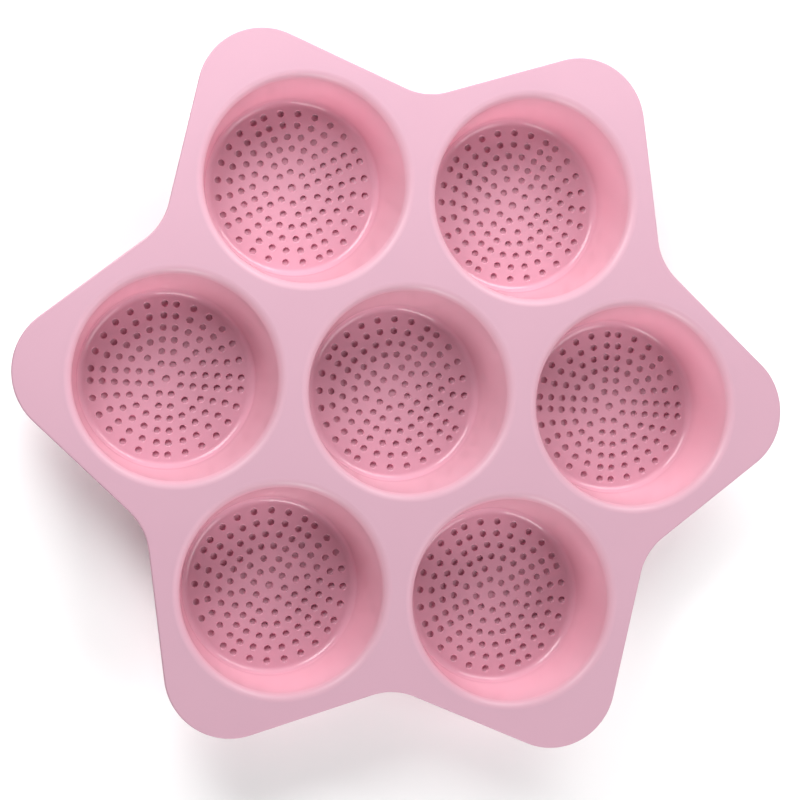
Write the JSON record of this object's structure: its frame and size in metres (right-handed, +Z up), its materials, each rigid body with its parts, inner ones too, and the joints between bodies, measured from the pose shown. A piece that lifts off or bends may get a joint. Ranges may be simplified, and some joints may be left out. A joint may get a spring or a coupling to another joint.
{
  "type": "silicone soap mould",
  "caption": "Star-shaped silicone soap mould: seven round tapered cups with rounded lips and dimpled floors that push up to release a bar and spring back.",
  "frame": {"origin": "middle of the tray's outline, on the plane that its cups stand on", "axes": "+X from the middle cup towards cup 1 and the tip beyond it, +Z up out of the mouths of the cups"},
  "size_m": [0.296, 0.263, 0.0325],
  "materials": {
    "flange_silicone": "satin",
    "wall_silicone": "soft gloss",
    "floor_silicone": "soft gloss"
  },
  "bodies": {
    "tray": {"flange": "flange_silicone", "cup_lip_centre": "flange_silicone", "cup_lip_1": "flange_silicone", "cup_lip_2": "flange_silicone", "cup_lip_3": "flange_silicone", "cup_lip_4": "flange_silicone", "cup_lip_5": "flange_silicone", "cup_lip_6": "flange_silicone", "cup_wall_centre": "wall_silicone", "cup_wall_1": "wall_silicone", "cup_wall_2": "wall_silicone", "cup_wall_3": "wall_silicone", "cup_wall_4": "wall_silicone", "cup_wall_5": "wall_silicone", "cup_wall_6": "wall_silicone"},
    "floor_centre": {"cup_floor_centre": "floor_silicone"},
    "floor_1": {"cup_floor_1": "floor_silicone"},
    "floor_2": {"cup_floor_2": "floor_silicone"},
    "floor_3": {"cup_floor_3": "floor_silicone"},
    "floor_4": {"cup_floor_4": "floor_silicone"},
    "floor_5": {"cup_floor_5": "floor_silicone"},
    "floor_6": {"cup_floor_6": "floor_silicone"}
  },
  "joints": [
    {"name": "push_out_centre", "type": "slide", "parent": "tray", "child": "floor_centre", "axis": [0, 0, 1], "range_m": [0, 0.012], "stiffness_N_per_m": 600},
    {"name": "push_out_1", "type": "slide", "parent": "tray", "child": "floor_1", "axis": [0, 0, 1], "range_m": [0, 0.012], "stiffness_N_per_m": 600},
    {"name": "push_out_2", "type": "slide", "parent": "tray", "child": "floor_2", "axis": [0, 0, 1], "range_m": [0, 0.012], "stiffness_N_per_m": 600},
    {"name": "push_out_3", "type": "slide", "parent": "tray", "child": "floor_3", "axis": [0, 0, 1], "range_m": [0, 0.012], "stiffness_N_per_m": 600},
    {"name": "push_out_4", "type": "slide", "parent": "tray", "child": "floor_4", "axis": [0, 0, 1], "range_m": [0, 0.012], "stiffness_N_per_m": 600},
    {"name": "push_out_5", "type": "slide", "parent": "tray", "child": "floor_5", "axis": [0, 0, 1], "range_m": [0, 0.012], "stiffness_N_per_m": 600},
    {"name": "push_out_6", "type": "slide", "parent": "tray", "child": "floor_6", "axis": [0, 0, 1], "range_m": [0, 0.012], "stiffness_N_per_m": 600}
  ]
}
